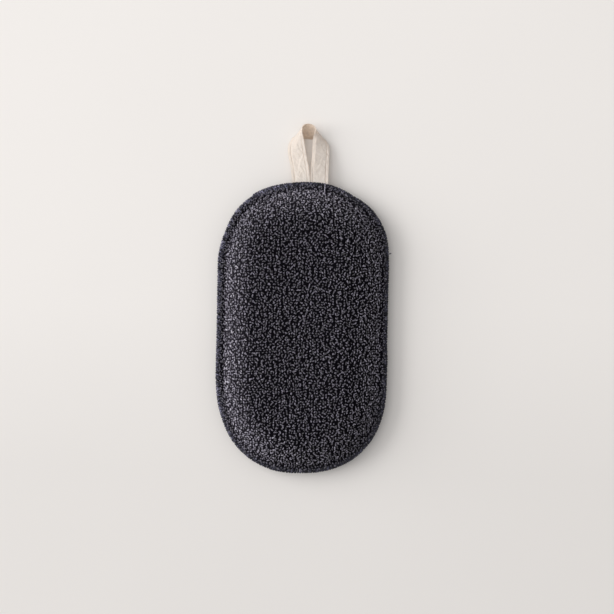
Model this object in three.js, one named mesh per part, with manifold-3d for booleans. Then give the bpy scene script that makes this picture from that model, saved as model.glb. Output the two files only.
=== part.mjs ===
// A scouring sponge: a foam slab between two knitted scouring panels, sewn together round the rim with
// overlock thread, and a hanging loop of woven tape caught in the seam at one end.
// It lies flat on its back panel. X runs across it, Y towards the loop and Z up, in millimetres, with the
// origin on the resting surface under the middle of the pad.
import * as THREE from "three";
import { mergeVertices } from "three/addons/utils/BufferGeometryUtils.js";
import Module from "manifold-3d";

const wasm = await Module();
wasm.setup();

// The pad's outline: straight sides between two rounded ends, measured over the sewn edge
const PAD_LENGTH = 160;
const PAD_WIDTH = 94.5;
const END_DEPTH = 47.25; // how far each rounded end reaches beyond the straight sides
const LOOP_END_FULLNESS = 2.25; // 2 is a plain ellipse, and more is squarer
const PLAIN_END_FULLNESS = 2.15;

// The pad's height
const PAD_THICKNESS = 20;
const SEAM_HEIGHT = 8.5; // the middle of the sewn edge
const FRONT_SHOULDER = 17; // how far in from the seam the front panel rises
const FRONT_CROWN = 1.2; // how much more it rises from there to the middle
const BACK_SHOULDER = 15; // how far in from the seam the back panel reaches the resting surface
const SHOULDER_FULLNESS = 2.2; // 1 is a straight slope, and more is rounder
const FLAT_HALF_WIDTH = 7; // of the level middle of the front panel and of the core

// The layers
const PANEL_THICKNESS = 1.2;
const SEAM_GAP = 0.3; // between the two panels where they are sewn together
const CLEARANCE = 0.3; // between pieces that lie against each other
const CORE_SETBACK = 4; // from the seam in to the foam's edge

// The overlocked edge
const OVERLOCK_WIDTH = 4.2;
const THREAD_THICKNESS = 0.7;

// The hanging loop, measured from the pad's end at the middle of the tape. A tilt, in degrees, raises the
// tape's inner edge above its outer edge, and a heading turns that way up from across the pad to along it.
const TAPE_WIDTH = 10;
const TAPE_THICKNESS = 0.8;
const TAPE_TAIL = 4; // sewn into the seam
const LEG_GAP = 0.4; // between the two legs where they leave the seam
const LOOP_OFFSET = 2.7; // to the right of the pad's middle line, and each sway is from there
const NECK_REACH = 4; // out to where the legs begin to part
const NECK_TILT = 16;
const BELLY_REACH = 17.6; // out to the widest place
const BELLY_WIDTH = 13.2;
const BELLY_SWAY = -1.3;
const BELLY_DROP = 2.4; // below the seam
const BELLY_TILT = 29;
const BELLY_HEADING = 8;
const BEND_REACH = 26.9; // out to the bends on either side of the top
const BEND_WIDTH = 10.8;
const BEND_DROP = 3.3;
const BEND_TILT = 52;
const BEND_HEADING = 45;
const TOP_REACH = 28.5; // out to the top, where the tape leans away from the pad
const TOP_SWAY = -1.6;
const TOP_DROP = 4.4;
const TOP_TILT = 40;

// Smoothness
const END_SEGMENTS = 32;
const SHOULDER_STEPS = 6;
const CROWN_STEPS = 2;
const TAPE_STEPS = 48;

const EDGE_INSET = THREAD_THICKNESS + CLEARANCE; // from the outline in to the panels' cut edges
const SEAM_INSET = OVERLOCK_WIDTH + CLEARANCE; // from the outline in to where the panels leave the seam
const PANEL_FACE = SEAM_GAP / 2 + PANEL_THICKNESS; // of a sewn panel's outer face from the seam's middle
const MIDDLE_INSET = Math.min(PAD_WIDTH / 2, END_DEPTH) - FLAT_HALF_WIDTH;

// One point of a rounded end, a superellipse, at an angle from its right-hand side
function endPoint(angle, halfWidth, depth, fullness) {
  const swell = (value) => Math.sign(value) * Math.abs(value) ** (2 / fullness);
  return new THREE.Vector2(halfWidth * swell(Math.cos(angle)), depth * swell(Math.sin(angle)));
}

// The pad's outline set in by a distance, as points that run anticlockwise from the right-hand side
function outline(inset) {
  const halfWidth = PAD_WIDTH / 2 - inset;
  const depth = END_DEPTH - inset;
  const straight = PAD_LENGTH / 2 - END_DEPTH;
  const points = [];
  for (const [turn, fullness, shift] of [
    [0, LOOP_END_FULLNESS, straight],
    [Math.PI, PLAIN_END_FULLNESS, -straight],
  ]) {
    for (let i = 0; i <= END_SEGMENTS; i++) {
      const point = endPoint(turn + (Math.PI * i) / END_SEGMENTS, halfWidth, depth, fullness);
      points.push(point.add(new THREE.Vector2(0, shift)));
    }
  }
  return points;
}

// A closed surface over rings of points: rings are joined in order, then capped or joined end to end
function skin(rings, endToEnd) {
  const count = rings[0].length;
  const positions = rings.flat().flatMap((point) => point.toArray());
  const triangles = [];
  const joins = endToEnd ? rings.length : rings.length - 1;
  for (let k = 0; k < joins; k++) {
    const here = k * count;
    const next = ((k + 1) % rings.length) * count;
    for (let i = 0; i < count; i++) {
      const j = (i + 1) % count;
      triangles.push(here + i, here + j, next + j, here + i, next + j, next + i);
    }
  }
  if (!endToEnd) {
    const last = (rings.length - 1) * count;
    const flat = (ring) => ring.map((point) => new THREE.Vector2(point.x, point.y));
    for (const [a, b, c] of THREE.ShapeUtils.triangulateShape(flat(rings[0]), [])) triangles.push(a, c, b);
    for (const [a, b, c] of THREE.ShapeUtils.triangulateShape(flat(rings.at(-1)), [])) {
      triangles.push(last + a, last + b, last + c);
    }
  }
  return new THREE.BufferGeometry()
    .setAttribute("position", new THREE.Float32BufferAttribute(positions, 3))
    .setIndex(triangles);
}

// The surface that a section sweeps round the pad: each point is an inset and a height
function sweepRound(section, endToEnd) {
  const ring = ([inset, height]) => outline(inset).map(({ x, y }) => new THREE.Vector3(x, y, height));
  return skin(section.map(ring), endToEnd);
}

// A curve of insets and heights, moved sideways by a distance, to the left of the way that it runs
function beside(curve, distance) {
  return curve.map(([inset, height], i) => {
    const [a, b] = [curve[Math.max(i - 1, 0)], curve[Math.min(i + 1, curve.length - 1)]];
    const way = new THREE.Vector2(b[0] - a[0], b[1] - a[1]).normalize();
    return [inset - way.y * distance, height + way.x * distance];
  });
}

// How far a panel has risen from the seam at an inset: a rounded shoulder, then a shallow crown
function rise(inset, shoulderWidth, shoulderRise, crownRise) {
  const share = (width) => Math.min(Math.max((inset - SEAM_INSET) / width, 0), 1);
  const shoulder = 1 - (1 - share(shoulderWidth)) ** SHOULDER_FULLNESS;
  const crown = 1 - (1 - share(MIDDLE_INSET - SEAM_INSET)) ** 2;
  return shoulderRise * shoulder + crownRise * crown;
}

// Insets where a panel's curve has a point, from the seam to the level middle
function shoulderInsets(shoulderWidth, crownSteps) {
  const end = SEAM_INSET + shoulderWidth;
  const insets = [SEAM_INSET];
  for (let i = 1; i <= SHOULDER_STEPS; i++) insets.push(SEAM_INSET + (shoulderWidth * i) / SHOULDER_STEPS);
  for (let i = 1; i <= crownSteps; i++) insets.push(end + ((MIDDLE_INSET - end) * i) / crownSteps);
  return insets;
}

// The outer faces of the two panels, from the cut edge to the level middle
function frontCurve() {
  const face = SEAM_HEIGHT + PANEL_FACE;
  const shoulderRise = PAD_THICKNESS - face - FRONT_CROWN;
  const insets = shoulderInsets(FRONT_SHOULDER, CROWN_STEPS);
  const height = (inset) => face + rise(inset, FRONT_SHOULDER, shoulderRise, FRONT_CROWN);
  return [EDGE_INSET, ...insets].map((inset) => [inset, height(inset)]);
}

function backCurve() {
  const face = SEAM_HEIGHT - PANEL_FACE;
  const insets = shoulderInsets(BACK_SHOULDER, 0);
  const height = (inset) => face - rise(inset, BACK_SHOULDER, face, 0);
  return [EDGE_INSET, ...insets].map((inset) => [inset, height(inset)]);
}

function solidOf(geometry) {
  const plain = new THREE.BufferGeometry()
    .setAttribute("position", geometry.getAttribute("position"))
    .setIndex(geometry.index);
  const merged = mergeVertices(plain);
  return new wasm.Manifold(
    new wasm.Mesh({
      numProp: 3,
      vertProperties: new Float32Array(merged.attributes.position.array),
      triVerts: new Uint32Array(merged.index.array),
    }),
  );
}

function geometryOf(solid) {
  const { vertProperties, triVerts } = solid.getMesh();
  return new THREE.BufferGeometry()
    .setAttribute("position", new THREE.BufferAttribute(vertProperties, 3))
    .setIndex(new THREE.BufferAttribute(triVerts, 1));
}

// The room that the tape's tails take up between the panels and in the overlocked edge
function tailRoom() {
  const width = 2 * TAPE_WIDTH + LEG_GAP + 2 * CLEARANCE;
  const depth = 2 * (TAPE_TAIL + CLEARANCE);
  const height = TAPE_THICKNESS + 2 * CLEARANCE;
  return new THREE.BoxGeometry(width, depth, height).translate(LOOP_OFFSET, PAD_LENGTH / 2, SEAM_HEIGHT);
}

function withoutTailRoom(geometry) {
  return geometryOf(solidOf(geometry).subtract(solidOf(tailRoom())));
}

function frontPanel() {
  const outside = frontCurve();
  const inside = beside(outside, -PANEL_THICKNESS);
  return withoutTailRoom(sweepRound([...inside.reverse(), ...outside], false));
}

function backPanel() {
  const outside = backCurve();
  const inside = beside(outside, PANEL_THICKNESS);
  return withoutTailRoom(sweepRound([...outside.reverse(), ...inside], false));
}

// The foam fills the room between the panels, up to its own cut edge
function foamCore() {
  const edge = SEAM_INSET + CORE_SETBACK;
  const within = ([inset]) => inset > edge;
  const top = beside(frontCurve(), -PANEL_THICKNESS - CLEARANCE).filter(within);
  const bottom = beside(backCurve(), PANEL_THICKNESS + CLEARANCE).filter(within);
  return sweepRound([...bottom.reverse(), ...top], false);
}

// A channel of thread round the panels' cut edges, rounded on its outer side
function overlockEdge() {
  const inner = PANEL_FACE + CLEARANCE;
  const outer = inner + THREAD_THICKNESS;
  const half = [
    [0, 0],
    [THREAD_THICKNESS / 4, outer / 2],
    [THREAD_THICKNESS, outer * 0.85],
    [THREAD_THICKNESS * 2, outer],
    [OVERLOCK_WIDTH, outer],
    [OVERLOCK_WIDTH, inner],
    [THREAD_THICKNESS, inner],
  ];
  const below = half.slice(1).map(([inset, height]) => [inset, -height]);
  const section = [...below.reverse(), ...half].map(([inset, height]) => [inset, SEAM_HEIGHT + height]);
  return withoutTailRoom(sweepRound(section, true));
}

// Places along the tape's middle line, out from the pad's end, with the heading and tilt of the tape there
function loopStations() {
  const leg = TAPE_WIDTH + LEG_GAP;
  const side = (way) => {
    const station = (width, sway, reach, drop, heading, tilt) => ({
      middle: new THREE.Vector3((way * width) / 2 + sway, reach, -drop),
      heading: way < 0 ? heading : 180 - heading,
      tilt,
    });
    return [
      station(leg, 0, -TAPE_TAIL, 0, 0, 0),
      station(leg, 0, CLEARANCE, 0, 0, 0),
      station(leg, 0, NECK_REACH, 0, 0, NECK_TILT),
      station(BELLY_WIDTH, BELLY_SWAY, BELLY_REACH, BELLY_DROP, BELLY_HEADING, BELLY_TILT),
      station(BEND_WIDTH, TOP_SWAY, BEND_REACH, BEND_DROP, BEND_HEADING, BEND_TILT),
    ];
  };
  const top = { middle: new THREE.Vector3(TOP_SWAY, TOP_REACH, -TOP_DROP), heading: 90, tilt: TOP_TILT };
  return [...side(-1), top, ...side(1).reverse()];
}

// A flat tape that leaves the seam, turns up on its edge round the top and comes back
function hangingLoop() {
  const stations = loopStations();
  const line = new THREE.CatmullRomCurve3(stations.map(({ middle }) => middle));
  const turns = new THREE.CatmullRomCurve3(
    stations.map(({ heading, tilt }) => new THREE.Vector3(heading, tilt, 0)),
  );
  const sections = [];
  for (let i = 0; i <= TAPE_STEPS; i++) {
    const at = i / TAPE_STEPS;
    const middle = line.getPoint(at);
    const along = line.getTangent(at);
    const [heading, tilt] = turns.getPoint(at).toArray().map(THREE.MathUtils.degToRad);
    const across = new THREE.Vector3(Math.cos(heading), Math.sin(heading), 0)
      .multiplyScalar(Math.cos(tilt))
      .setZ(Math.sin(tilt));
    const out = new THREE.Vector3().crossVectors(across, along).normalize();
    const corner = (side, face) =>
      middle
        .clone()
        .addScaledVector(across, (side * TAPE_WIDTH) / 2)
        .addScaledVector(out, (face * TAPE_THICKNESS) / 2);
    sections.push([corner(-1, -1), corner(1, -1), corner(1, 1), corner(-1, 1)]);
  }
  return tapeSkin(sections).translate(LOOP_OFFSET, PAD_LENGTH / 2, SEAM_HEIGHT);
}

// The closed surface over four-cornered sections, with a square end at each tail
function tapeSkin(sections) {
  const positions = sections.flat().flatMap((point) => point.toArray());
  const triangles = [0, 1, 2, 0, 2, 3];
  for (let k = 0; k < sections.length - 1; k++) {
    for (let i = 0; i < 4; i++) {
      const [a, b] = [4 * k + i, 4 * k + ((i + 1) % 4)];
      triangles.push(a, b + 4, b, a, a + 4, b + 4);
    }
  }
  const end = 4 * (sections.length - 1);
  triangles.push(end, end + 2, end + 1, end, end + 3, end + 2);
  return new THREE.BufferGeometry()
    .setAttribute("position", new THREE.Float32BufferAttribute(positions, 3))
    .setIndex(triangles);
}

const scouringKnit = new THREE.MeshStandardMaterial({ color: 0x35323a, roughness: 0.95, metalness: 0 });
const paleFoam = new THREE.MeshStandardMaterial({ color: 0xd8d2c4, roughness: 0.9, metalness: 0 });
const navyThread = new THREE.MeshStandardMaterial({ color: 0x34343f, roughness: 0.9, metalness: 0 });
const creamTape = new THREE.MeshStandardMaterial({ color: 0xe0d6cc, roughness: 0.9, metalness: 0 });

const sponge = new THREE.Group();
for (const [name, geometry, material] of [
  ["front_panel", frontPanel(), scouringKnit],
  ["back_panel", backPanel(), scouringKnit],
  ["foam_core", foamCore(), paleFoam],
  ["overlock_edge", overlockEdge(), navyThread],
  ["hanging_loop", hangingLoop(), creamTape],
]) {
  const mesh = new THREE.Mesh(geometry, material);
  mesh.name = name;
  sponge.add(mesh);
}

export default sponge;
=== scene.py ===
# %% [markdown]
# # A scouring sponge
#
# This lesson dresses a flat scouring sponge: two knitted panels over a foam slab, a rim bound with overlock
# thread, and a loop of woven tape to hang it by. The solid model of the sponge is already made and packed. It
# is loaded first as a fixed frame, so that every soft piece built here lands exactly where its solid is.
# All lengths are in metres, with X across the pad, Y towards the loop and Z up from the table.

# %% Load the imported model
import math

import bpy
import numpy as np
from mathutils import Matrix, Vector
from mathutils.bvhtree import BVHTree
from mathutils.kdtree import KDTree


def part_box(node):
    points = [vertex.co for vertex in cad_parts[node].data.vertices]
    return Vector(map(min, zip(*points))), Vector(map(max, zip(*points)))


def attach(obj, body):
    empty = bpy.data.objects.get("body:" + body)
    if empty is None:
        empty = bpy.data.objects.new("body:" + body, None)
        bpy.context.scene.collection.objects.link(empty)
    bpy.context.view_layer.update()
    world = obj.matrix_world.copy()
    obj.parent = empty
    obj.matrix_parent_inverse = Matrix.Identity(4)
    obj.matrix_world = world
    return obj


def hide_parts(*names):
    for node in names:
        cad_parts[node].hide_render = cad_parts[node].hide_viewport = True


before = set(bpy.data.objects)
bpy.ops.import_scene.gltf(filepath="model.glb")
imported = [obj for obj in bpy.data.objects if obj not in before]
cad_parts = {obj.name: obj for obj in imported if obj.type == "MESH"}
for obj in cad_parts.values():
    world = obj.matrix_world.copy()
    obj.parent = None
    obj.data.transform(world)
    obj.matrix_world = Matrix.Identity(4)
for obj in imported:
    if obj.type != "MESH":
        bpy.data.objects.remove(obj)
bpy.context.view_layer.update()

MM = 0.001
scene = bpy.context.scene
scene.view_settings.view_transform = "Standard"
print("solid pieces:", sorted(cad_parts))

# %% [markdown]
# ## The camera
#
# The photograph looks straight down on the pad, and the pad leans about one degree to the right in it. The
# camera could be aimed by eye, but the pad's outline gives its place exactly: 1.8155 pixels show a millimetre
# at the height of the seam, and the pad's centre stands at pixel (302.3, 327.9) of 614. The lens is long, as
# for a product shot, so that the sides of the pad stay hidden.

# %% Aim the camera
PHOTO_PIXELS = 614
PIXELS_PER_MM = 1.8155
PAD_CENTRE_PIXEL = (302.3, 327.9)
PAD_LEAN = math.radians(1.05)
CAMERA_DISTANCE = 1.0
SENSOR_MM = 36

edge_low, edge_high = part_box("overlock_edge")
SEAM_HEIGHT = (edge_low.z + edge_high.z) / 2

right = (PHOTO_PIXELS / 2 - PAD_CENTRE_PIXEL[0]) / PIXELS_PER_MM * MM
down = (PHOTO_PIXELS / 2 - PAD_CENTRE_PIXEL[1]) / PIXELS_PER_MM * MM
camera_x = right * math.cos(PAD_LEAN) + down * math.sin(PAD_LEAN)
camera_y = right * math.sin(PAD_LEAN) - down * math.cos(PAD_LEAN)

bpy.ops.object.select_all(action="DESELECT")
bpy.ops.object.camera_add(
    location=(camera_x, camera_y, SEAM_HEIGHT + CAMERA_DISTANCE), rotation=(0, 0, PAD_LEAN)
)
camera = bpy.context.object
camera.data.sensor_width = SENSOR_MM
camera.data.lens = SENSOR_MM * CAMERA_DISTANCE / (PHOTO_PIXELS / PIXELS_PER_MM * MM)
scene.camera = camera
print(f"camera over ({camera_x / MM:.2f}, {camera_y / MM:.2f}) mm with a {camera.data.lens:.0f} mm lens")

# %% [markdown]
# ## The table and the light
#
# The pad lies on a pale, warm tabletop. Soft daylight from the upper left gives the long shadow at the right
# and below, and a softbox overhead keeps that shadow pale close to the pad, where the daylight doesn't reach.
# Both are area lamps, and an even world fills in the rest. Together they light a level surface to
# about 1, so that every colour renders as it is written.

# %% Set the table and the light
FLOOR_SIZE = 8.0
FLOOR_COLOUR = (0.835, 0.81, 0.792)
DAYLIGHT_DISTANCE = 4.0
DAYLIGHT_SIZE = 3.6
DAYLIGHT_DIRECTION = (168, 26)  # bearing from +X towards +Y, and elevation, in degrees
DAYLIGHT_POWER = 162.0
SOFTBOX_DISTANCE = 3.0
SOFTBOX_SIZE = 2.4
SOFTBOX_DIRECTION = (165, 78)
SOFTBOX_POWER = 30.0
SKY_STRENGTH = 0.42
BACKDROP = 0.9  # what the camera sees past the table
LAMP_COLOUR = (1.0, 0.99, 0.975)
SKY_COLOUR = (1.0, 0.99, 0.98)

bpy.ops.object.select_all(action="DESELECT")
bpy.ops.mesh.primitive_plane_add(size=FLOOR_SIZE)
table_top = bpy.context.object
table_top.name = "table_top"


def hang_lamp(name, direction, distance, size, power):
    """A square lamp that faces the middle of the table."""
    bearing, elevation = map(math.radians, direction)
    level = math.cos(elevation)
    toward = Vector((math.cos(bearing) * level, math.sin(bearing) * level, math.sin(elevation)))
    bpy.ops.object.select_all(action="DESELECT")
    bpy.ops.object.light_add(type="AREA", location=toward * distance)
    lamp = bpy.context.object
    lamp.name = name
    lamp.rotation_euler = toward.to_track_quat("Z", "Y").to_euler()
    lamp.data.size = size
    lamp.data.energy = power
    lamp.data.color = LAMP_COLOUR
    print(f"{name} at {tuple(round(c, 2) for c in lamp.location)} m")


hang_lamp("daylight", DAYLIGHT_DIRECTION, DAYLIGHT_DISTANCE, DAYLIGHT_SIZE, DAYLIGHT_POWER)
hang_lamp("softbox", SOFTBOX_DIRECTION, SOFTBOX_DISTANCE, SOFTBOX_SIZE, SOFTBOX_POWER)

world = bpy.data.worlds.new("soft_room")
world.use_nodes = True
background = world.node_tree.nodes["Background"]
background.inputs["Color"].default_value = (*SKY_COLOUR, 1)
rays = world.node_tree.nodes.new("ShaderNodeLightPath")
seen = world.node_tree.nodes.new("ShaderNodeMapRange")
seen.inputs["To Min"].default_value, seen.inputs["To Max"].default_value = SKY_STRENGTH, BACKDROP
world.node_tree.links.new(rays.outputs["Is Camera Ray"], seen.inputs["Value"])
world.node_tree.links.new(seen.outputs["Result"], background.inputs["Strength"])
scene.world = world
print("the world lights from all round at", SKY_STRENGTH)

# %% [markdown]
# ## Finishes
#
# Each material is a small node tree. Colour, roughness and bump come from noise and wave textures at the size
# of the real thing, such as the 1.5 mm wales of the knit or the 0.7 mm twill of the tape. Where each tuft of
# yarn or wrap of thread has a tone of its own, where a place is worn, or where light and shade are painted
# into the colour, an attribute of the mesh says so.

# %% A start for every finish
def new_finish(name):
    finish = bpy.data.materials.new(name)
    finish.use_nodes = True
    return finish, finish.node_tree.nodes["Principled BSDF"]


def add_node(finish, kind, **values):
    made = finish.node_tree.nodes.new("ShaderNode" + kind)
    for name, value in values.items():
        made.inputs[name].default_value = value
    return made


def join(finish, source, target):
    finish.node_tree.links.new(source, target)


def ramp(finish, source, *stops):
    """A colour ramp fed by a value, with its stops as (place, colour)."""
    made = finish.node_tree.nodes.new("ShaderNodeValToRGB")
    marks = made.color_ramp.elements
    while len(marks) < len(stops):
        marks.new(0.5)
    for mark, (place, colour) in zip(marks, stops):
        mark.position = place
        mark.color = (*colour, 1)
    join(finish, source, made.inputs["Fac"])
    return made


def grey(value):
    return (value, value, value)


def multiply(finish, first, second):
    """The product of two colours."""
    made = add_node(finish, "Mix")
    made.data_type = "RGBA"
    made.blend_type = "MULTIPLY"
    made.inputs["Factor"].default_value = 1.0
    join(finish, first, made.inputs[6])
    join(finish, second, made.inputs[7])
    return made.outputs[2]


def raise_bump(finish, target, source, strength, depth):
    """A bump that a shader, or a finer bump over this one, takes as its normal."""
    bump = add_node(finish, "Bump", Strength=strength, Distance=depth)
    join(finish, source, bump.inputs["Height"])
    join(finish, bump.outputs["Normal"], target.inputs["Normal"])
    return bump


def object_place(finish):
    return finish.node_tree.nodes.new("ShaderNodeTexCoord").outputs["Object"]


# %% Table top: matt, warm and very faintly mottled, painted darker towards -Y as painted fall-off of the light
DIM_FROM, DIM_TO = -0.17, 0.19  # along Y, over which the painted light on the table grows

paint, shader = new_finish("pale_table")
mottle = add_node(paint, "TexNoise", Scale=6.0, Detail=4.0)
join(paint, object_place(paint), mottle.inputs["Vector"])
pale = ramp(paint, mottle.outputs["Fac"], (0.3, [0.985 * c for c in FLOOR_COLOUR]), (0.7, FLOOR_COLOUR))
drift = add_node(paint, "SeparateXYZ")
join(paint, object_place(paint), drift.inputs["Vector"])
reach = add_node(paint, "MapRange")
reach.inputs["From Min"].default_value, reach.inputs["From Max"].default_value = DIM_FROM, DIM_TO
join(paint, drift.outputs["Y"], reach.inputs["Value"])
# Painted light: the table's colour is darker towards -Y, as painted fall-off of the light, darkest below the
# pad as painted shadow
painted_falloff = ramp(
    paint, reach.outputs["Result"],
    (0.0, grey(0.875)), (0.25, grey(0.885)), (0.5, grey(0.96)), (1.0, grey(0.985)),
)
join(paint, multiply(paint, pale.outputs["Color"], painted_falloff.outputs["Color"]), shader.inputs["Base Color"])
rough = ramp(paint, mottle.outputs["Fac"], (0.0, grey(0.75)), (1.0, grey(0.85)))
join(paint, rough.outputs["Color"], shader.inputs["Roughness"])
shader.inputs["Specular IOR Level"].default_value = 0.2
table_top.data.materials.append(paint)
print("table painted")

# %% Ground of the knit: near-black yarn in wales, painted paler on the sides towards the light
WALE_PITCH = 1.5 * MM
COURSE_PITCH = 1.42 * MM
WAVE_PERIOD = 2 * math.pi / 20  # of a wave texture with a scale of 1

knit_ground, shader = new_finish("knit_ground")
place = object_place(knit_ground)
fuzz = add_node(knit_ground, "TexNoise", Scale=1500.0, Detail=5.0)
join(knit_ground, place, fuzz.inputs["Vector"])
# Painted light: the pale attribute makes the ground paler on the shoulders that face the light from the upper
# left
wear_and_painted_light = add_node(knit_ground, "Attribute")
wear_and_painted_light.attribute_name = "pale"
yarn = ramp(knit_ground, wear_and_painted_light.outputs["Fac"], (0.0, (0.0045, 0.004, 0.0068)), (0.4, (0.045, 0.041, 0.054)))
shade = ramp(knit_ground, fuzz.outputs["Fac"], (0.3, grey(0.26)), (0.75, grey(1.0)))
spun = multiply(knit_ground, yarn.outputs["Color"], shade.outputs["Color"])
join(knit_ground, spun, shader.inputs["Base Color"])
wales = add_node(knit_ground, "TexWave", Scale=WAVE_PERIOD / WALE_PITCH, Distortion=3.0, Detail=2.0)
join(knit_ground, place, wales.inputs["Vector"])
raise_bump(knit_ground, shader, wales.outputs["Fac"], 0.6, 0.4 * MM)
rough = ramp(knit_ground, fuzz.outputs["Fac"], (0.0, grey(0.85)), (1.0, grey(1.0)))
join(knit_ground, rough.outputs["Color"], shader.inputs["Roughness"])
shader.inputs["Specular IOR Level"].default_value = 0.03
print("ground of the knit ready")

# %% Slubs of the knit: each has a tone of its own, from near-black to grey, with painted light and shade added by side and inset
TONE_SPAN = 1.7  # the lightest tone of all, where 1 is the lightest on the level and tones above it are painted light

knit_slubs, shader = new_finish("knit_slubs")
tone = add_node(knit_slubs, "Attribute")
tone.attribute_name = "tone"
# The tone attribute holds each slub's own tone plus the painted light and shade of its side and inset
slub_colour = ramp(
    knit_slubs, tone.outputs["Fac"],
    (0.0, (0.004, 0.0033, 0.0066)), (0.5 / TONE_SPAN, (0.056, 0.0505, 0.0725)),
    (1.0 / TONE_SPAN, (0.265, 0.247, 0.317)), (1.0, (0.72, 0.69, 0.79)),
)
fibres = add_node(knit_slubs, "TexNoise", Scale=3500.0, Detail=3.0)
join(knit_slubs, object_place(knit_slubs), fibres.inputs["Vector"])
shade = ramp(knit_slubs, fibres.outputs["Fac"], (0.25, grey(0.62)), (0.75, grey(1.0)))
spun = multiply(knit_slubs, slub_colour.outputs["Color"], shade.outputs["Color"])
join(knit_slubs, spun, shader.inputs["Base Color"])
rough = ramp(knit_slubs, fibres.outputs["Fac"], (0.0, grey(0.26)), (1.0, grey(0.42)))
join(knit_slubs, rough.outputs["Color"], shader.inputs["Roughness"])
raise_bump(knit_slubs, shader, fibres.outputs["Fac"], 0.3, 0.1 * MM)
shader.inputs["Specular IOR Level"].default_value = 1.0
shader.inputs["Specular Tint"].default_value = (0.95, 0.93, 1.0, 1)
shader.inputs["IOR"].default_value = 1.62
print("slubs ready")

# %% Overlock thread: navy grey, softly spun, painted paler on the sides towards the light
edge_thread, shader = new_finish("edge_thread")
spin = add_node(edge_thread, "TexNoise", Scale=1400.0, Detail=2.0)
join(edge_thread, object_place(edge_thread), spin.inputs["Vector"])
tone = add_node(edge_thread, "Attribute")
tone.attribute_name = "tone"
# The tone attribute carries each wrap's own tone and the painted light of its side
navy = ramp(edge_thread, tone.outputs["Fac"], (0.0, (0.0055, 0.0055, 0.013)), (1.0, (0.27, 0.264, 0.378)))
shade = ramp(edge_thread, spin.outputs["Fac"], (0.44, grey(0.07)), (0.6, grey(1.0)))
spun = multiply(edge_thread, navy.outputs["Color"], shade.outputs["Color"])
join(edge_thread, spun, shader.inputs["Base Color"])
rough = ramp(edge_thread, spin.outputs["Fac"], (0.0, grey(0.5)), (1.0, grey(0.65)))
join(edge_thread, rough.outputs["Color"], shader.inputs["Roughness"])
raise_bump(edge_thread, shader, spin.outputs["Fac"], 0.4, 0.1 * MM)
shader.inputs["Specular IOR Level"].default_value = 0.25
print("thread ready")

# %% Cotton tape: cream twill, with the weave along the tape's own UV map
TAPE_WIDTH = 10 * MM
TWILL_PITCH = 0.7 * MM
TWILL_SLANT = math.radians(32)
LIGHT_THROUGH = 0.36  # of the light that falls on the tape

cotton_tape, shader = new_finish("cotton_tape")
tape_uv = add_node(cotton_tape, "UVMap")
tape_uv.uv_map = "tape_lengths"  # in metres, across and along the flat tape
turned = add_node(cotton_tape, "Mapping", Rotation=(0, 0, TWILL_SLANT))
join(cotton_tape, tape_uv.outputs["UV"], turned.inputs["Vector"])
twill = add_node(cotton_tape, "TexWave", Scale=WAVE_PERIOD / TWILL_PITCH, Distortion=0.6, Detail=1.0)
join(cotton_tape, turned.outputs["Vector"], twill.inputs["Vector"])
slack = add_node(cotton_tape, "TexNoise", Scale=420.0, Detail=2.0)
join(cotton_tape, tape_uv.outputs["UV"], slack.inputs["Vector"])
cream = ramp(cotton_tape, slack.outputs["Fac"], (0.3, (0.835, 0.795, 0.755)), (0.7, (0.925, 0.885, 0.845)))
valley = ramp(cotton_tape, twill.outputs["Fac"], (0.0, grey(0.93)), (0.5, grey(1.0)))
# The folds attribute darkens the selvedge lines and the worn edges, and adds painted shade in the creases and
# over the top of the loop
folds = add_node(cotton_tape, "Attribute")
folds.attribute_name = "folds"
wear_and_painted_light = ramp(cotton_tape, folds.outputs["Fac"], (0.0, grey(1.0)), (1.0, (0.84, 0.73, 0.63)))
woven = multiply(cotton_tape, cream.outputs["Color"], valley.outputs["Color"])
join(cotton_tape, multiply(cotton_tape, woven, wear_and_painted_light.outputs["Color"]), shader.inputs["Base Color"])
rough = ramp(cotton_tape, slack.outputs["Fac"], (0.0, grey(0.7)), (1.0, grey(0.85)))
join(cotton_tape, rough.outputs["Color"], shader.inputs["Roughness"])
weave = raise_bump(cotton_tape, shader, twill.outputs["Fac"], 0.6, 0.15 * MM)
raise_bump(cotton_tape, weave, slack.outputs["Fac"], 0.8, 1.2 * MM)
shader.inputs["Specular IOR Level"].default_value = 0.3
through = add_node(cotton_tape, "BsdfTranslucent", Color=(0.94, 0.82, 0.70, 1))
thin = add_node(cotton_tape, "MixShader", Fac=LIGHT_THROUGH)
join(cotton_tape, shader.outputs["BSDF"], thin.inputs[1])
join(cotton_tape, through.outputs["BSDF"], thin.inputs[2])
join(cotton_tape, thin.outputs["Shader"], cotton_tape.node_tree.nodes["Material Output"].inputs["Surface"])
print("tape ready")

# %% Foam: pale and full of small open cells
pale_foam, shader = new_finish("pale_foam")
cells = add_node(pale_foam, "TexVoronoi", Scale=900.0)
join(pale_foam, object_place(pale_foam), cells.inputs["Vector"])
foam_colour = ramp(pale_foam, cells.outputs["Distance"], (0.1, (0.5, 0.46, 0.38)), (0.6, (0.7, 0.66, 0.57)))
join(pale_foam, foam_colour.outputs["Color"], shader.inputs["Base Color"])
rough = ramp(pale_foam, cells.outputs["Distance"], (0.0, grey(0.95)), (1.0, grey(0.8)))
join(pale_foam, rough.outputs["Color"], shader.inputs["Roughness"])
raise_bump(pale_foam, shader, cells.outputs["Distance"], 0.7, 0.4 * MM)

foam_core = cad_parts["foam_core"]
foam_core.data.materials.clear()
foam_core.data.materials.append(pale_foam)
print("the solid foam core stays, with its own finish")

# %% [markdown]
# ## The pad's shape
#
# Seen from above the pad is two straight sides between rounded ends that are a little squarer than ellipses.
# Everything on it is placed by one number, the inset: how far in from the sewn edge a point lies. The height
# of a panel depends on the inset alone, a round shoulder and then a shallow crown, as in the solid model.

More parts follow.
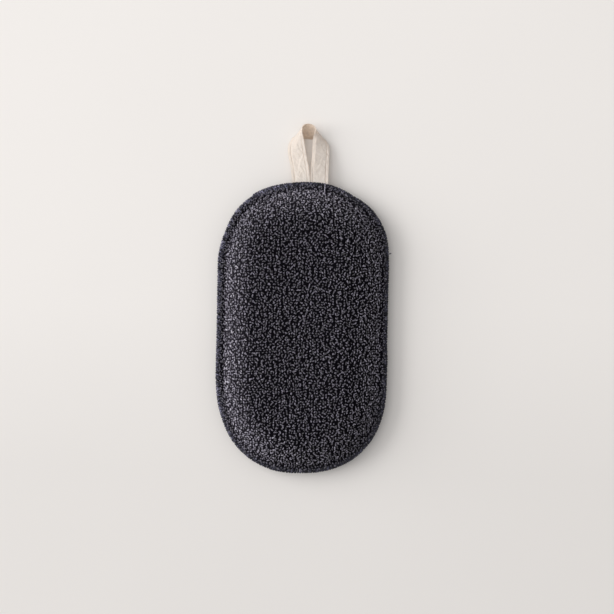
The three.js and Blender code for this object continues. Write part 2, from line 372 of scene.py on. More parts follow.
# %% Outline, inset and height
HALF_WIDTH = edge_high.x
HALF_LENGTH = -edge_low.y
END_DEPTH = 47.25 * MM
STRAIGHT = HALF_LENGTH - END_DEPTH  # half of the straight side
LOOP_END_FULLNESS = 2.25
PLAIN_END_FULLNESS = 2.15

EDGE_INSET = 1.0 * MM  # of the panels' cut edges
SEAM_INSET = 4.5 * MM  # where the panels leave the seam
PANEL_FACE = 1.35 * MM  # of a sewn panel's outer face from the seam's middle
MIDDLE_INSET = 40.25 * MM
SHOULDER_FULLNESS = 2.2
FRONT_SHOULDER = 17 * MM
FRONT_CROWN = 1.2 * MM
BACK_SHOULDER = 15 * MM
PAD_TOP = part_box("front_panel")[1].z


def end_fullness(y):
    return np.where(np.asarray(y) >= 0, LOOP_END_FULLNESS, PLAIN_END_FULLNESS)


def panel_rise(inset, shoulder_width, shoulder_rise, crown_rise):
    """How far a panel has risen from the seam at an inset."""
    past_seam = inset - SEAM_INSET
    shoulder = 1 - (1 - np.clip(past_seam / shoulder_width, 0, 1)) ** SHOULDER_FULLNESS
    crown = 1 - (1 - np.clip(past_seam / (MIDDLE_INSET - SEAM_INSET), 0, 1)) ** 2
    return shoulder_rise * shoulder + crown_rise * crown


def front_height(inset):
    face = SEAM_HEIGHT + PANEL_FACE
    return face + panel_rise(inset, FRONT_SHOULDER, PAD_TOP - face - FRONT_CROWN, FRONT_CROWN)


def back_height(inset):
    face = SEAM_HEIGHT - PANEL_FACE
    return face - panel_rise(inset, BACK_SHOULDER, face, 0)


print(f"pad {2 * HALF_WIDTH / MM:.1f} x {2 * HALF_LENGTH / MM:.1f} mm, {PAD_TOP / MM:.1f} mm high")

# %% [markdown]
# ## The knitted panels
#
# Each panel is a piece of knit pulled over the foam and held round its rim by the seam. It starts as a grid,
# and its rows of squares are led round the pad's outline: the outermost ring of squares follows the cut edge,
# and each ring inside it lies a little further in. Then a short cloth simulation with the rim pinned lets the
# front swell inside its seam, as a padded piece does. The back lies on the table and stays flat. The cloth is
# simulated ten times as large, because Blender's cloth is tuned for things the size of clothes.

# %% Helpers for meshes
def coordinates(obj):
    flat = np.empty(3 * len(obj.data.vertices))
    obj.data.vertices.foreach_get("co", flat)
    return flat.reshape(-1, 3)


def set_coordinates(obj, points):
    obj.data.vertices.foreach_set("co", np.ascontiguousarray(points, float).ravel())
    obj.data.update()


def only(obj):
    """Select one object, and nothing else, for the next operator."""
    bpy.ops.object.select_all(action="DESELECT")
    obj.select_set(True)
    bpy.context.view_layer.objects.active = obj


def apply_modifier(obj, kind, name, **values):
    only(obj)
    modifier = obj.modifiers.new(name, kind)
    for key, value in values.items():
        setattr(modifier, key, value)
    bpy.ops.object.modifier_apply(modifier=modifier.name)


# %% A grid led round the outline
SQUARES_ACROSS = 48
SQUARES_ALONG = 82
CLOTH_SINK = 0.5 * MM  # the ground cloth lies this far below the slubs' level


def lead_round(grid):
    """Places in plan, and their insets, of the points of a grid whose sides run from -1 to 1."""
    half, level = SQUARES_ACROSS / 2, (SQUARES_ALONG - SQUARES_ACROSS) / 2
    across, along = np.abs(grid[:, 0]) * half, np.abs(grid[:, 1]) * SQUARES_ALONG / 2
    to_side, to_end = half - across, SQUARES_ALONG / 2 - along
    ring = half - np.minimum(to_side, to_end)
    inset = EDGE_INSET + (HALF_WIDTH - EDGE_INSET) * (1 - ring / half)
    safe = np.maximum(ring, 1e-9)
    past = np.maximum(along - level, 0)
    turn = np.where(to_side <= to_end, past / safe, 2 - across / safe) * math.pi / 4
    power = 2 / end_fullness(grid[:, 1])
    x = (HALF_WIDTH - inset) * np.cos(turn) ** power
    y = np.where(
        past > 0, STRAIGHT + (END_DEPTH - inset) * np.sin(turn) ** power, STRAIGHT * along / level
    )
    return np.sign(grid[:, 0]) * x, np.sign(grid[:, 1]) * y, inset


def lay_cloth(name, height, sink):
    bpy.ops.object.select_all(action="DESELECT")
    bpy.ops.mesh.primitive_grid_add(x_subdivisions=SQUARES_ACROSS, y_subdivisions=SQUARES_ALONG, size=2)
    cloth = bpy.context.object
    cloth.name = cloth.data.name = name
    x, y, inset = lead_round(coordinates(cloth))
    set_coordinates(cloth, np.column_stack([x, y, height(inset) + sink]))
    return cloth, inset


front_knit, front_insets = lay_cloth("front_knit", front_height, -CLOTH_SINK)
back_knit, _ = lay_cloth("back_knit", back_height, CLOTH_SINK)
only(back_knit)
bpy.ops.object.mode_set(mode="EDIT")
bpy.ops.mesh.select_all(action="SELECT")
bpy.ops.mesh.flip_normals()
bpy.ops.object.mode_set(mode="OBJECT")
print("cloth laid:", len(front_knit.data.polygons), "squares a side")

# %% Let the cloth swell
SWELL_SCALE = 10
SWELL_FRAMES = 20
SWELL_PRESSURE = 4.0
SWELL_LIMIT = 0.9 * MM
PIN_MARGIN = 0.5 * MM  # the cloth is pinned this far past the seam
CLOTH_STIFFNESS = 30
CLOTH_BENDING = 2


def swell(cloth, insets):
    before = coordinates(cloth)
    set_coordinates(cloth, before * SWELL_SCALE)
    pins = cloth.vertex_groups.new(name="seam")
    pins.add(np.flatnonzero(insets < SEAM_INSET + PIN_MARGIN).tolist(), 1.0, "REPLACE")
    only(cloth)
    modifier = cloth.modifiers.new("Swell", "CLOTH")
    modifier.settings.vertex_group_mass = pins.name
    modifier.settings.use_pressure = True
    modifier.settings.uniform_pressure_force = SWELL_PRESSURE
    modifier.settings.tension_stiffness = CLOTH_STIFFNESS
    modifier.settings.compression_stiffness = CLOTH_STIFFNESS
    modifier.settings.bending_stiffness = CLOTH_BENDING
    modifier.settings.effector_weights.gravity = 0
    modifier.point_cache.frame_end = SWELL_FRAMES
    for step in range(1, SWELL_FRAMES + 1):
        scene.frame_set(step)
    bpy.ops.object.modifier_apply(modifier=modifier.name)
    scene.frame_set(1)
    moved = coordinates(cloth) / SWELL_SCALE - before
    far = np.linalg.norm(moved, axis=1)
    share = np.minimum(1, SWELL_LIMIT / np.maximum(far, 1e-9))
    set_coordinates(cloth, before + moved * share[:, None])
    cloth.vertex_groups.clear()
    print(f"{cloth.name} swelled by up to {far.max() / MM:.2f} mm, {np.median(far) / MM:.2f} mm mostly")


swell(front_knit, front_insets)

# %% Give the cloth its thickness
PANEL_THICKNESS = 1.2 * MM

for cloth in (front_knit, back_knit):
    apply_modifier(cloth, "SUBSURF", "Smooth", levels=1, render_levels=1)
    apply_modifier(cloth, "SOLIDIFY", "Thick", thickness=PANEL_THICKNESS - CLOTH_SINK, offset=-1)
    bpy.ops.object.shade_smooth()
    cloth.data.materials.append(knit_ground)
    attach(cloth, "root")
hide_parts("front_panel")
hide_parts("back_panel")
print("panels:", len(front_knit.data.polygons), "faces each")

# %% [markdown]
# ## The slubs
#
# What scours is a thick uneven yarn that shows on the face of the knit as short grey tufts, one to a stitch,
# with the black ground between them. A bump map could only hint at them. They stand up by half a
# millimetre, so one slub is modelled as a fat bent thread, and thousands of copies are laid on the cloth in
# wales and courses, each a little longer, thinner, darker or more turned than the next. Left to chance,
# light and dark would clump, so the tones are evened out among neighbours. Along the seam the yarn is painted
# darker, as painted shade, and over the shoulder paler, partly where the knit is pulled tight and partly as
# painted sheen. On the sides towards the light it is painted paler still, as painted light, more so on some
# sides than on others, and a small table gives each side its share.

# %% One thread as a mesh
def spin_thread(name, points, radii, roundness=1):
    """A round thread through points, as a mesh to copy. A roundness of 0 gives it four sides."""
    curve = bpy.data.curves.new(name, "CURVE")
    curve.dimensions = "3D"
    curve.bevel_depth = 1.0
    curve.bevel_resolution = roundness
    curve.use_fill_caps = True
    spline = curve.splines.new("POLY")
    spline.points.add(len(points) - 1)
    for point, place, radius in zip(spline.points, points, radii):
        point.co = (*place, 1)
        point.radius = radius
    thread = bpy.data.objects.new(name, curve)
    scene.collection.objects.link(thread)
    only(thread)
    bpy.ops.object.convert(target="MESH")
    return bpy.context.object


def copy_about(name, pattern, origins, sides, alongs, ups, tones=None):
    """One mesh of many copies of a pattern, each on its own origin and its own three arrows."""
    points = coordinates(pattern)
    copies = (
        origins[:, None]
        + points[None, :, 0, None] * sides[:, None]
        + points[None, :, 1, None] * alongs[:, None]
        + points[None, :, 2, None] * ups[:, None]
    )
    starts = np.arange(len(origins)) * len(points)
    faces = [tuple(face.vertices) for face in pattern.data.polygons]
    mesh = bpy.data.meshes.new(name)
    all_faces = [tuple(start + v for v in face) for start in starts.tolist() for face in faces]
    mesh.from_pydata(copies.reshape(-1, 3).tolist(), [], all_faces)
    if tones is not None:
        attribute = mesh.attributes.new("tone", "FLOAT", "POINT")
        attribute.data.foreach_set("value", np.repeat(tones, len(points)).astype(np.float32))
    piece = bpy.data.objects.new(name, mesh)
    scene.collection.objects.link(piece)
    only(piece)
    bpy.ops.object.shade_smooth()
    return piece


slub = spin_thread(
    "slub",
    [(-0.12, -0.5, -0.35), (0.1, -0.2, 0.42), (0.1, 0.2, 0.42), (-0.12, 0.5, -0.35)],
    [0.3, 0.55, 0.55, 0.3],
    roundness=0,
)
print("one slub has", len(slub.data.polygons), "faces")

# %% Where the slubs lie on a panel
SLUB_SEED = 11
FLANGE_START = 1.1 * MM  # the slubs begin where the rim's thread ends
WALE_STEP = 0.35  # how far, in courses, one wale is out of step with the next
WALE_SWAY = 0.12  # how far, in pitches, a wale sways to either side
STRAY_ACROSS = 0.4 * MM
STRAY_ALONG = 0.27 * MM
EVEN_REACH = 2.6 * MM
EVEN_SHARE = 0.8
STRETCH_AND_PAINTED_LIGHT = np.array([  # inset in millimetres, and how light the yarn is there: darker along the seam as painted shade of its groove, paler over the shoulder, partly where the knit opens and partly as painted sheen
    (1.1, 0.8), (2.5, 0.75), (3.7, 0.75), (4.4, 0.95), (5.2, 1.24), (15, 1.17), (22, 1),
])
# Painted light: by bearing, the knit and the overlock thread are painted paler on the left and top, towards
# the light, and darker at the bottom and lower right
PAINTED_LIGHT_SIDES = np.array([  # bearing from +X towards +Y, paleness of shoulder and flange, share of the thread
    (0, 0.01, -0.03, 1.0), (45, 0.04, 0.0, 1.0), (90, 0.28, 0.15, 1.8), (135, 0.14, 0.0, 3.3),
    (180, 0.3, 0.0, 3.9), (225, 0.27, 0.19, 2.0), (270, -0.1, -0.05, 0.95), (315, -0.14, -0.12, 0.95),
])
PALE_BAND = np.array([(5, 1), (7, 1), (10, 0.65), (15, 0.4), (19, 0)])  # inset in millimetres, and share
SEAM_BLEND = 0.5 * MM  # over which flange gives way to shoulder


def far_from_middle(x, y):
    """How far out a place in plan lies, up to half the width at the edge."""
    past = np.maximum(np.abs(y) - STRAIGHT, 0)
    power = end_fullness(y)
    return (np.abs(x) ** power + past**power) ** (1 / power)


def knit_places(height, seed):
    """Places in plan of a panel's stitches. The knit is set out flat, then pulled in over the shoulder."""
    dice = np.random.default_rng(seed)
    insets = np.linspace(EDGE_INSET, HALF_WIDTH, 400)
    steps = np.hypot(np.diff(insets), np.diff(height(insets)))
    arc = np.concatenate([[0], np.cumsum(steps)])
    flat_half = arc[-1]
    columns = int(flat_half / WALE_PITCH) + 1
    rows = int((flat_half + STRAIGHT) / COURSE_PITCH) + 1
    i, j = np.meshgrid(np.arange(-columns, columns + 1), np.arange(-rows, rows + 1), indexing="ij")
    phase = np.cumsum(dice.normal(0, WALE_STEP, 2 * columns + 1))[:, None]
    sway = WALE_SWAY * np.sin(0.55 * j + 1.7 * phase)
    x = (i + sway) * WALE_PITCH + dice.normal(0, STRAY_ACROSS, i.shape)
    y = (j + phase % 1) * COURSE_PITCH + dice.normal(0, STRAY_ALONG, j.shape)
    x, y = x.ravel(), y.ravel()
    past = np.maximum(np.abs(y) - STRAIGHT, 0)
    reach = far_from_middle(x, y)
    inset = np.interp(flat_half - reach, arc, insets)
    pull = (HALF_WIDTH - inset) / np.maximum(reach, 1e-9)
    keep = (reach < flat_half) & (inset > FLANGE_START)
    y = np.where(past > 0, np.sign(y) * (STRAIGHT + past * pull), y)
    return x[keep] * pull[keep], y[keep], inset[keep], dice


def unit(vectors):
    return vectors / np.linalg.norm(vectors, axis=1)[:, None]


def even_out(tones, x, y):
    """Take out most of what a tone has in common with its neighbours."""
    near = KDTree(len(x))
    for number, place in enumerate(zip(x.tolist(), y.tolist())):
        near.insert((*place, 0), number)
    near.balance()
    around = np.array([
        np.mean([tones[number] for _, number, _ in near.find_range((*place, 0), EVEN_REACH)])
        for place in zip(x.tolist(), y.tolist())
    ])
    return np.clip(tones - EVEN_SHARE * (around - tones.mean()), 0, None)


def by_side(x, y):
    """What the table of painted light by side gives at a place in plan: shoulder, flange and thread."""
    past = y - np.clip(y, -STRAIGHT, STRAIGHT)
    bearing = np.degrees(np.arctan2(past, x)) % 360
    return [np.interp(bearing, PAINTED_LIGHT_SIDES[:, 0], column, period=360) for column in PAINTED_LIGHT_SIDES.T[1:]]


def painted_side_light(x, y, inset):
    """How much lighter the knit is painted on each side, as painted light from the upper left, and darker at
    the bottom and lower right.
    """
    shoulder, flange, _ = by_side(x, y)
    up = np.interp(inset, [SEAM_INSET - SEAM_BLEND, SEAM_INSET + SEAM_BLEND], [0, 1])
    return flange * (1 - up) + shoulder * up * np.interp(inset / MM, *PALE_BAND.T)


print(len(knit_places(front_height, SLUB_SEED)[0]), "stitches on the front")

# %% Lay them on the cloth
SLUB_LEAN = math.radians(35)  # to either side of the wale
SLUB_TURN = math.radians(30)  # the spread about that lean
SLUB_LENGTH = (0.72 * MM, 1.2 * MM)
SLUB_WIDTH = (0.5 * MM, 0.78 * MM)
SLUB_HEIGHT = (0.38 * MM, 0.58 * MM)
FLANGE_PRESS = 0.9  # of the height, where the seam presses the knit
DARK_SHARE = 0.12  # of the slubs are nearly black
DARK_TONE = 0.15
PALE_SPREAD = 0.5  # how much wider and lower a slub gets as it gets paler


def lay_slubs(name, cloth, height, facing, seed):
    x, y, inset, dice = knit_places(height, seed)
    count = len(x)
    ground = coordinates(cloth)
    surface = BVHTree.FromPolygons(ground.tolist(), [tuple(face.vertices) for face in cloth.data.polygons])
    hits = [
        surface.ray_cast(Vector((px, py, facing * 0.1)), Vector((0, 0, -facing)))
        for px, py in zip(x.tolist(), y.tolist())
    ]
    origins = np.array([hit[0] for hit in hits])
    ups = unit(np.array([hit[1] * math.copysign(1, hit[1].z * facing) for hit in hits]))
    turn = dice.choice([-1, 1], count) * SLUB_LEAN + dice.normal(0, SLUB_TURN, count)
    turn += dice.choice([0, math.pi], count)
    alongs = np.column_stack([np.sin(turn), np.cos(turn), np.zeros(count)])
    alongs = unit(alongs - ups * np.sum(alongs * ups, axis=1)[:, None])
    sides = np.cross(alongs, ups)
    length = dice.uniform(*SLUB_LENGTH, count)
    width = dice.uniform(*SLUB_WIDTH, count)
    tall = dice.uniform(*SLUB_HEIGHT, count) * np.where(inset < SEAM_INSET, FLANGE_PRESS, 1.0)
    tones = dice.beta(1.5, 1.25, count) * np.where(dice.random(count) < DARK_SHARE, DARK_TONE, 1)
    # Painted light: tones go darker along the seam, paler over the shoulder and paler still on the sides
    # towards the light
    tones = even_out(tones, x, y) * np.interp(inset / MM, *STRETCH_AND_PAINTED_LIGHT.T)
    pale = painted_side_light(x, y, inset)
    tones = np.clip(tones + pale, 0, TONE_SPAN)
    width *= 1 + PALE_SPREAD * pale
    tall *= 1 - PALE_SPREAD * pale.clip(0)
    piece = copy_about(
        name, slub, origins, sides * width[:, None], alongs * length[:, None], ups * tall[:, None],
        tones / TONE_SPAN,
    )
    piece.data.materials.append(knit_slubs)
    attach(piece, "root")
    # The ground under the slubs gets the same painted light, as an attribute
    ground_x, ground_y, _ = ground.T
    pale = painted_side_light(ground_x, ground_y, HALF_WIDTH - far_from_middle(ground_x, ground_y))
    cloth.data.attributes.new("pale", "FLOAT", "POINT").data.foreach_set("value", pale.clip(0))
    print(f"{name}: {count} slubs")
    return piece


front_slubs = lay_slubs("front_slubs", front_knit, front_height, 1, SLUB_SEED)
back_slubs = lay_slubs("back_slubs", back_knit, back_height, -1, SLUB_SEED + 1)

# %% The pad's own weight presses the underside flat
LOWEST = 0.05 * MM

pressed_points = coordinates(back_slubs)
pressed_points[:, 2] = np.maximum(pressed_points[:, 2], LOWEST)
set_coordinates(back_slubs, pressed_points)
print("underside pressed flat")

# %% [markdown]
# ## The overlocked rim
#
# An overlock machine sews round the cut edges with threads that wrap over the edge from one face to the
# other, packed so closely at the very edge that they close up into a navy cord, and thin and slanting further
# in, where the knit shows between them. One wrap is made as a thread bent like a C, fat in the middle and
# thin at both ends, and copied round the outline. Beside the loop, where the sewing began and finished, the
# wraps lie double. The thread is painted paler on the sides towards the light, as painted light. Under the
# wraps lies a roll that fills the edge.

# %% Places along the outline
def outline_line(inset, count=4000):
    """Points at even distances round the outline, with the ways out of and along it."""
    angle = np.linspace(0.5 * math.pi, 2.5 * math.pi, 8 * count)
    c, s = np.cos(angle), np.sin(angle)
    power = 2 / end_fullness(s)
    x = (HALF_WIDTH - inset) * np.sign(c) * np.abs(c) ** power
    y = np.sign(s) * (STRAIGHT + (END_DEPTH - inset) * np.abs(s) ** power)
    length = np.concatenate([[0], np.cumsum(np.hypot(np.diff(x), np.diff(y)))])
    even = np.linspace(0, length[-1], count, endpoint=False)
    line = np.column_stack([np.interp(even, length, x), np.interp(even, length, y), np.zeros(count)])
    along = unit(np.roll(line, -1, axis=0) - np.roll(line, 1, axis=0))
    out = np.column_stack([along[:, 1], -along[:, 0], np.zeros(count)])
    return line + [0, 0, SEAM_HEIGHT], along, out, length[-1]


rim_line, rim_along, rim_out, rim_length = outline_line(0)
print(f"the rim is {rim_length / MM:.0f} mm round")

# %% One wrap of thread over the edge
WRAP_PITCH = 0.95 * MM
OVERLAP_START = -28.6 * MM  # across the loop's end, where the sewing began and finished
OVERLAP_END = -8.0 * MM
OVERLAP_LIFT = 0.6 * MM
DENTS = [(42.1, -41.9), (37.1, -65.7)]  # two slack stitches, in millimetres
DENT_DEPTH = 0.45 * MM
DENT_WIDTH = 1.3 * MM

half_wrap = [  # inset, height from the seam, slant along the rim and radius, in millimetres
    (4.6, 0.5, 1.1, 0.12),
    (3.4, 0.7, 0.8, 0.15),
    (2.2, 0.85, 0.5, 0.18),
    (1.35, 0.95, 0.2, 0.3),
    (0.75, 0.85, 0.06, 0.46),
    (0.42, 0.4, 0.0, 0.54),
]
other_half = [(inset, -height, -slant, radius) for inset, height, slant, radius in reversed(half_wrap)]
wrap_path = [(-inset * MM, slant * MM, height * MM) for inset, height, slant, _ in half_wrap + other_half]
wrap = spin_thread("wrap", wrap_path, [radius * MM for *_, radius in half_wrap + other_half])
print("one wrap has", len(wrap.data.polygons), "faces")

# %% Wraps all the way round, doubled where the sewing overlaps
WRAP_SEED = 5
WRAP_STRAY = 1.2  # along the rim, in points of its line
WRAP_JUMP = 0.03 * MM  # in or out of the line
WRAP_FATNESS = (0.95, 1.04)
SECOND_SET_BACK = 0.3 * MM  # of the second row of wraps
WRAP_TONE = 0.45

dice = np.random.default_rng(WRAP_SEED)
count = round(rim_length / WRAP_PITCH)
places = np.arange(count) / count * len(rim_line) + dice.normal(0, WRAP_STRAY, count)
at = places.astype(int) % len(rim_line)
across = rim_line[at, 0]
doubled = (rim_line[at, 1] > 0) & (across > OVERLAP_START) & (across < OVERLAP_END)
fade = np.where(doubled, (OVERLAP_END - across) / (OVERLAP_END - OVERLAP_START), 0)
lift = OVERLAP_LIFT * np.sqrt(np.clip(fade, 0, 1)) + dice.normal(0, WRAP_JUMP, count)
for dent_x, dent_y in DENTS:
    far = np.hypot(across - dent_x * MM, rim_line[at, 1] - dent_y * MM)
    lift -= DENT_DEPTH * np.exp(-((far / DENT_WIDTH) ** 2))
origins = rim_line[at] + rim_out[at] * lift[:, None]
up = np.tile([0.0, 0.0, 1.0], (count, 1))
fat = dice.uniform(*WRAP_FATNESS, count)[:, None]
again = np.flatnonzero(doubled)
# Painted light: each wrap's tone is scaled by its side's share, paler towards the light
painted_thread_light = by_side(*rim_line[np.append(at, at[again]), :2].T)[2]
rim_wraps = copy_about(
    "rim_wraps", wrap,
    np.vstack([origins, origins[again] - rim_out[at[again]] * SECOND_SET_BACK]),
    np.vstack([rim_out[at] * fat, rim_out[at[again]] * 1.05]),
    np.vstack([rim_along[at], -rim_along[at[again]] * 1.4]),
    np.vstack([up * fat, up[again] * 1.08]),
    WRAP_TONE * dice.beta(1.9, 3.5, count + len(again)) * painted_thread_light,
)
rim_wraps.data.materials.append(edge_thread)
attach(rim_wraps, "root")
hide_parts("overlock_edge")
print(f"{count} wraps, {len(again)} of them sewn over twice")

# %% The roll under the wraps
ROLL_INSET = 1.3 * MM
ROLL_RADIUS = 0.95 * MM
ROLL_TONE = 0.07
ROLL_POINTS = 240

roll_line = outline_line(ROLL_INSET, ROLL_POINTS)[0].tolist()
rim_roll = spin_thread("rim_roll", [*roll_line, roll_line[0]], [ROLL_RADIUS] * (ROLL_POINTS + 1))
only(rim_roll)
bpy.ops.object.shade_smooth()
roll_tone = rim_roll.data.attributes.new("tone", "FLOAT", "POINT")
roll_tone.data.foreach_set("value", [ROLL_TONE] * len(rim_roll.data.vertices))
rim_roll.data.materials.append(edge_thread)
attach(rim_roll, "root")
print("roll laid")

# %% [markdown]
# ## Loose stitches
#
# Hand-held goods are never quite even. A short line of pale tacking shows beside the loop, one pale stitch
# lies at the other end, and a thread end stands out of the right side. They are copies of the slub, laid one
# by one at the places where the photograph shows them.

# %% Tacking and thread ends
STITCHES = [  # place across and along the pad, bearing, length, width and tone
    (10.9, 78.3, 92, 1.5, 0.55, 1.0),
    (10.8, 76.9, 86, 1.6, 0.6, 1.0),
    (10.8, 75.5, 94, 1.5, 0.6, 1.0),
    (10.7, 74.2, 88, 1.4, 0.55, 0.9),
    (0.1, -78.3, 84, 1.5, 0.5, 1.0),
    (47.1, 41.7, 15, 1.6, 0.8, 0.3),
]
STITCH_LIFT = 0.55 * MM
STITCH_HEIGHT = 0.6 * MM
RIM_RISE = 1.2 * MM  # of the wraps above the seam
AT_EDGE = 0.99  # of the way out, where a thread end stands off the rim

stitch_x, stitch_y, bearing, long, wide, stitch_tones = np.array(STITCHES).T
edge_reach = far_from_middle(stitch_x * MM, stitch_y * MM) / HALF_WIDTH
stitch_inset = np.maximum(HALF_WIDTH * (1 - edge_reach), 0)
stitch_height = np.where(stitch_inset > FLANGE_START, front_height(stitch_inset), SEAM_HEIGHT + RIM_RISE)
stitch_height += np.where(edge_reach < AT_EDGE, STITCH_LIFT, 0)
bearing = np.radians(bearing)
loose_stitches = copy_about(
    "loose_stitches", slub,
    np.column_stack([stitch_x * MM, stitch_y * MM, stitch_height]),
    np.column_stack([np.sin(bearing), -np.cos(bearing), 0 * bearing]) * (wide * MM)[:, None],
    np.column_stack([np.cos(bearing), np.sin(bearing), 0 * bearing]) * (long * MM)[:, None],
    np.tile([0, 0, STITCH_HEIGHT], (len(STITCHES), 1)),
    stitch_tones / TONE_SPAN,
)
loose_stitches.data.materials.append(knit_slubs)
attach(loose_stitches, "root")
print(len(STITCHES), "loose stitches")

# %% [markdown]
# ## The waver of the outline
#
# A rim that is guided through the machine by hand never follows its pattern exactly. Measured from the
# photograph, the outline wavers by up to a millimetre. All the sewn pieces are moved together, outwards or
# inwards by bearing from the pad's centre, and less and less towards the middle.

# %% Let the rim waver
WAVER = np.array([  # bearing in degrees from +X towards +Y, and shift in millimetres
    (0, -0.25), (20, -0.25), (40, 0), (50, 1.05), (60, 0.9), (70, -0.3), (80, 0.55), (90, 0.45),
    (100, -0.1), (120, 0), (130, -0.7), (140, 0.05), (180, 0), (210, 0.1), (220, -0.6), (230, -0.9),
    (240, -0.2), (250, 0.3), (260, 0.5), (270, 0), (280, 0.2), (290, 0.5), (300, 0.4), (310, -0.1),
    (320, -0.3), (340, 0.1), (350, -0.3),
])
WAVER_FADE = 4  # the higher, the nearer to the rim it stays


def let_waver(piece):
    points = coordinates(piece)
    x, y = points[:, 0], points[:, 1]
    past = y - np.clip(y, -STRAIGHT, STRAIGHT)
    reach = np.maximum(np.hypot(x, past), 1e-9)
    bearing = np.degrees(np.arctan2(y, x)) % 360
    shift = np.interp(bearing, *WAVER.T, period=360) * MM * np.minimum(reach / HALF_WIDTH, 1) ** WAVER_FADE
    points[:, 0] += shift * x / reach
    points[:, 1] += shift * past / reach
    set_coordinates(piece, points)


for piece in (front_knit, back_knit, front_slubs, back_slubs, rim_wraps, rim_roll, loose_stitches):
    let_waver(piece)
print("seven pieces follow the waver of the rim")

# %% [markdown]
# ## The hanging loop
#
# The loop is one length of flat cotton tape. Both tails are caught in the seam. From there the tape sinks a
# little, with its inner edge higher than its outer edge, and round the top it leans away from the pad, so
# that the camera sees its inner face there. A strip of squares is led through stations that follow the solid
# loop, each with a place, a heading and a tilt. The legs lie a little flatter than the solid, and the right
# leg's inner edge rolls under. Creases and the two lines of the selvedge are pressed into the strip before it
# gets its thickness.

# %% Stations of the tape
TAPE_THICKNESS = 0.45 * MM
LOOP_OFFSET = 2.7 * MM
LEFT_LEG = [  # place across and out from the pad's end, drop below the seam, heading and tilt
    (-4.8, -4.0, 0.0, 0, 0),
    (-4.85, 0.3, 0.1, 0, 3),
    (-5.1, 4.0, 0.8, 0, 8),
    (-6.0, 10.0, 2.2, 3, 11),
    (-7.4, 17.0, 3.4, 7, 13),
    (-7.8, 22.7, 3.5, 14, 32),
    (-7.3, 26.6, 3.4, 30, 53),
    (-6.4, 28.1, 4.1, 56, 48),
    (-3.9, 28.6, 4.5, 78, 41),
]
TOP = (-1.3, 28.7, 4.6, 90, 40)
RIGHT_LEG = [
    (5.2, -4.0, 0.0, 0, 0),
    (5.15, 0.3, 0.1, 0, 0),
    (5.1, 4.0, 0.8, 0, 4),
    (5.25, 10.0, 2.2, 2, 8),
    (5.6, 17.4, 3.4, 6, 11),
    (5.65, 23.0, 3.5, 18, 27),
    (5.2, 26.6, 3.4, 36, 51),
    (4.0, 27.9, 4.1, 58, 47),
    (1.4, 28.4, 4.5, 78, 41),
]
CURL_START = 0.64  # of the half width, where the right leg's inner edge rolls under
CURL = math.radians(-52)
CURL_AT = [0.65, 0.72, 0.8, 0.9]  # shares of the stations, and how far the edge has rolled there
CURL_SHARE = [0, 1, 1, 0]
TAPE_SAMPLES = 400

mirrored = [(x, out, drop, 180 - heading, tilt) for x, out, drop, heading, tilt in reversed(RIGHT_LEG)]
tape_stations = np.array([*LEFT_LEG, TOP, *mirrored], float)
tape_stations[:, 2] *= -1
print(len(tape_stations), "stations")


def pass_through(points, at):
    """A smooth line through points, a centripetal Catmull-Rom spline, at shares of its length in spans."""
    ends = np.vstack([2 * points[0] - points[1], points, 2 * points[-1] - points[-2]])
    span = np.minimum((at * (len(points) - 1)).astype(int), len(points) - 2)
    part = (at * (len(points) - 1) - span)[:, None]
    p = [ends[span + k] for k in range(4)]
    gap = [np.maximum(np.sqrt(np.linalg.norm(p[k + 1] - p[k], axis=1)), 1e-3)[:, None] for k in range(3)]
    start = (p[1] - p[0]) / gap[0] - (p[2] - p[0]) / (gap[0] + gap[1]) + (p[2] - p[1]) / gap[1]
    finish = (p[2] - p[1]) / gap[1] - (p[3] - p[1]) / (gap[1] + gap[2]) + (p[3] - p[2]) / gap[2]
    start, finish = start * gap[1], finish * gap[1]
    return (
        p[1] + start * part + (3 * (p[2] - p[1]) - 2 * start - finish) * part**2
        + (2 * (p[1] - p[2]) + start + finish) * part**3
    )


def lead_tape(across, at):
    """Places of points across the tape, from -1 to 1, at shares of its stations, and the way out of it."""
    middle = pass_through(tape_stations[:, :3], at) * MM
    step = 1e-4
    ahead = pass_through(tape_stations[:, :3], np.minimum(at + step, 1)) * MM
    behind = pass_through(tape_stations[:, :3], np.maximum(at - step, 0)) * MM
    heading, tilt = np.radians(pass_through(tape_stations[:, 3:], at)).T
    over = np.column_stack([np.cos(heading) * np.cos(tilt), np.sin(heading) * np.cos(tilt), np.sin(tilt)])
    out = unit(np.cross(over, unit(ahead - behind)))
    flat = np.minimum(across, CURL_START)
    curl = CURL * np.interp(at, CURL_AT, CURL_SHARE)[:, None]
    places = middle + over * (flat * TAPE_WIDTH / 2)[:, None]
    places += (over * np.cos(curl) + out * np.sin(curl)) * ((across - flat) * TAPE_WIDTH / 2)[:, None]
    return places + [LOOP_OFFSET, HALF_LENGTH, SEAM_HEIGHT], out


shares = np.linspace(0, 1, TAPE_SAMPLES)
tape_middle = lead_tape(np.zeros(TAPE_SAMPLES), shares)[0]
tape_steps = np.linalg.norm(np.diff(tape_middle, axis=0), axis=1)
TAPE_LENGTH = float(tape_steps.sum())
print(f"the tape is {TAPE_LENGTH / MM:.1f} mm long, from a seam {SEAM_HEIGHT / MM:.1f} mm up")

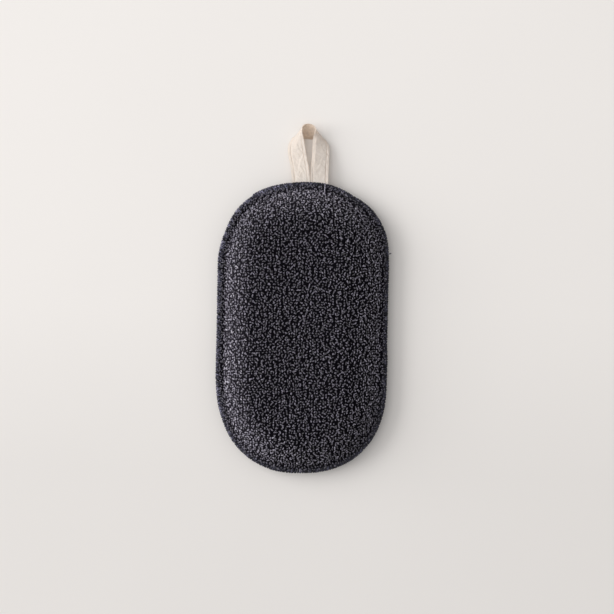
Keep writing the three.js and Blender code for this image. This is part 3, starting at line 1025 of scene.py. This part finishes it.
# %% The tape itself
TAPE_SQUARES = (40, 260)
SELVEDGE_AT = 0.7  # of the half width
SELVEDGE_WIDTH = 0.05
SELVEDGE_DEPTH = 0.2 * MM
SELVEDGE_WEAR = 0.45
EDGE_WEAR = 0.35
TOP_SHADE = 0.8  # painted shade over the top of the loop, where its inner face lies in shade
TOP_SHADE_REACH = 5 * MM
CREASE_SHADE = 0.5  # painted shade in the creases, for each millimetre of depth
CREASES = [  # place, bearing, half length, depth and width, in millimetres and degrees
    (-5.3, 102.3, 65, 2.8, 0.3, 1.3),
    (-3.0, 100.0, 115, 2.0, 0.18, 0.8),
    (-2.6, 97.4, -35, 1.8, 0.16, 0.55),
    (-4.6, 95.6, 30, 1.6, 0.16, 0.55),
    (-2.2, 94.2, 65, 2.4, 0.18, 0.6),
    (-1.0, 86.6, -60, 2.0, 0.18, 0.55),
    (-2.6, 85.2, 55, 1.8, 0.16, 0.55),
    (-3.4, 89.6, 80, 2.6, 0.14, 0.6),
    (10.6, 103.2, -25, 1.8, 0.16, 0.6),
    (9.2, 99.6, 40, 1.6, 0.12, 0.5),
    (11.0, 97.0, -50, 2.0, 0.12, 0.5),
    (8.6, 92.4, 70, 2.4, 0.12, 0.6),
    (10.8, 88.6, -40, 1.8, 0.12, 0.5),
]

bpy.ops.object.select_all(action="DESELECT")
bpy.ops.mesh.primitive_grid_add(x_subdivisions=TAPE_SQUARES[0], y_subdivisions=TAPE_SQUARES[1], size=2)
hanging_tape = bpy.context.object
hanging_tape.name = hanging_tape.data.name = "hanging_tape"
flat_tape = coordinates(hanging_tape)
across, at = flat_tape[:, 0], (flat_tape[:, 1] + 1) / 2
places, out = lead_tape(across, at)
travelled = np.interp(at, shares, np.concatenate([[0], np.cumsum(tape_steps)]))

line = np.exp(-(((np.abs(across) - SELVEDGE_AT) / SELVEDGE_WIDTH) ** 2))
rubbed = np.exp(-(((1 - np.abs(across)) / SELVEDGE_WIDTH) ** 2))
pressed_in, folds = SELVEDGE_DEPTH * line, SELVEDGE_WEAR * line + EDGE_WEAR * rubbed
# Painted shade: the top of the loop is darkened and browned where its inner face lies in shade
folds += TOP_SHADE * np.exp(-(((travelled - TAPE_LENGTH / 2) / TOP_SHADE_REACH) ** 2))
for x, y, bearing, length, depth, width in CREASES:
    away = places[:, :2] / MM - [x, y]
    way = np.array([math.cos(math.radians(bearing)), math.sin(math.radians(bearing))])
    beside = away @ [-way[1], way[0]]
    crease = np.exp(-((beside / width) ** 2) - (away @ way / length) ** 2)
    pressed_in += depth * MM * crease * beside / width * 2
    # Painted shade: each crease is darkened as well as pressed in
    folds += CREASE_SHADE * depth * crease
set_coordinates(hanging_tape, places - out * pressed_in[:, None])
hanging_tape.data.attributes.new("folds", "FLOAT", "POINT").data.foreach_set("value", folds)

lengths = hanging_tape.data.uv_layers.new(name="tape_lengths")
corners = np.empty(len(hanging_tape.data.loops), int)
hanging_tape.data.loops.foreach_get("vertex_index", corners)
uv = np.column_stack([(across + 1) / 2 * TAPE_WIDTH, travelled])[corners]
lengths.data.foreach_set("uv", uv.ravel())

apply_modifier(hanging_tape, "SOLIDIFY", "Thick", thickness=TAPE_THICKNESS, offset=0)
bpy.ops.object.shade_smooth_by_angle(angle=math.radians(50))
hanging_tape.data.materials.append(cotton_tape)
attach(hanging_tape, "root")
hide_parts("hanging_loop")
print("tape made:", len(hanging_tape.data.polygons), "faces")

# %% [markdown]
# ## Clear the bench
#
# The slub and the wrap were only patterns to copy from, so they go.

# %% Finish
for pattern in (slub, wrap):
    bpy.data.objects.remove(pattern)
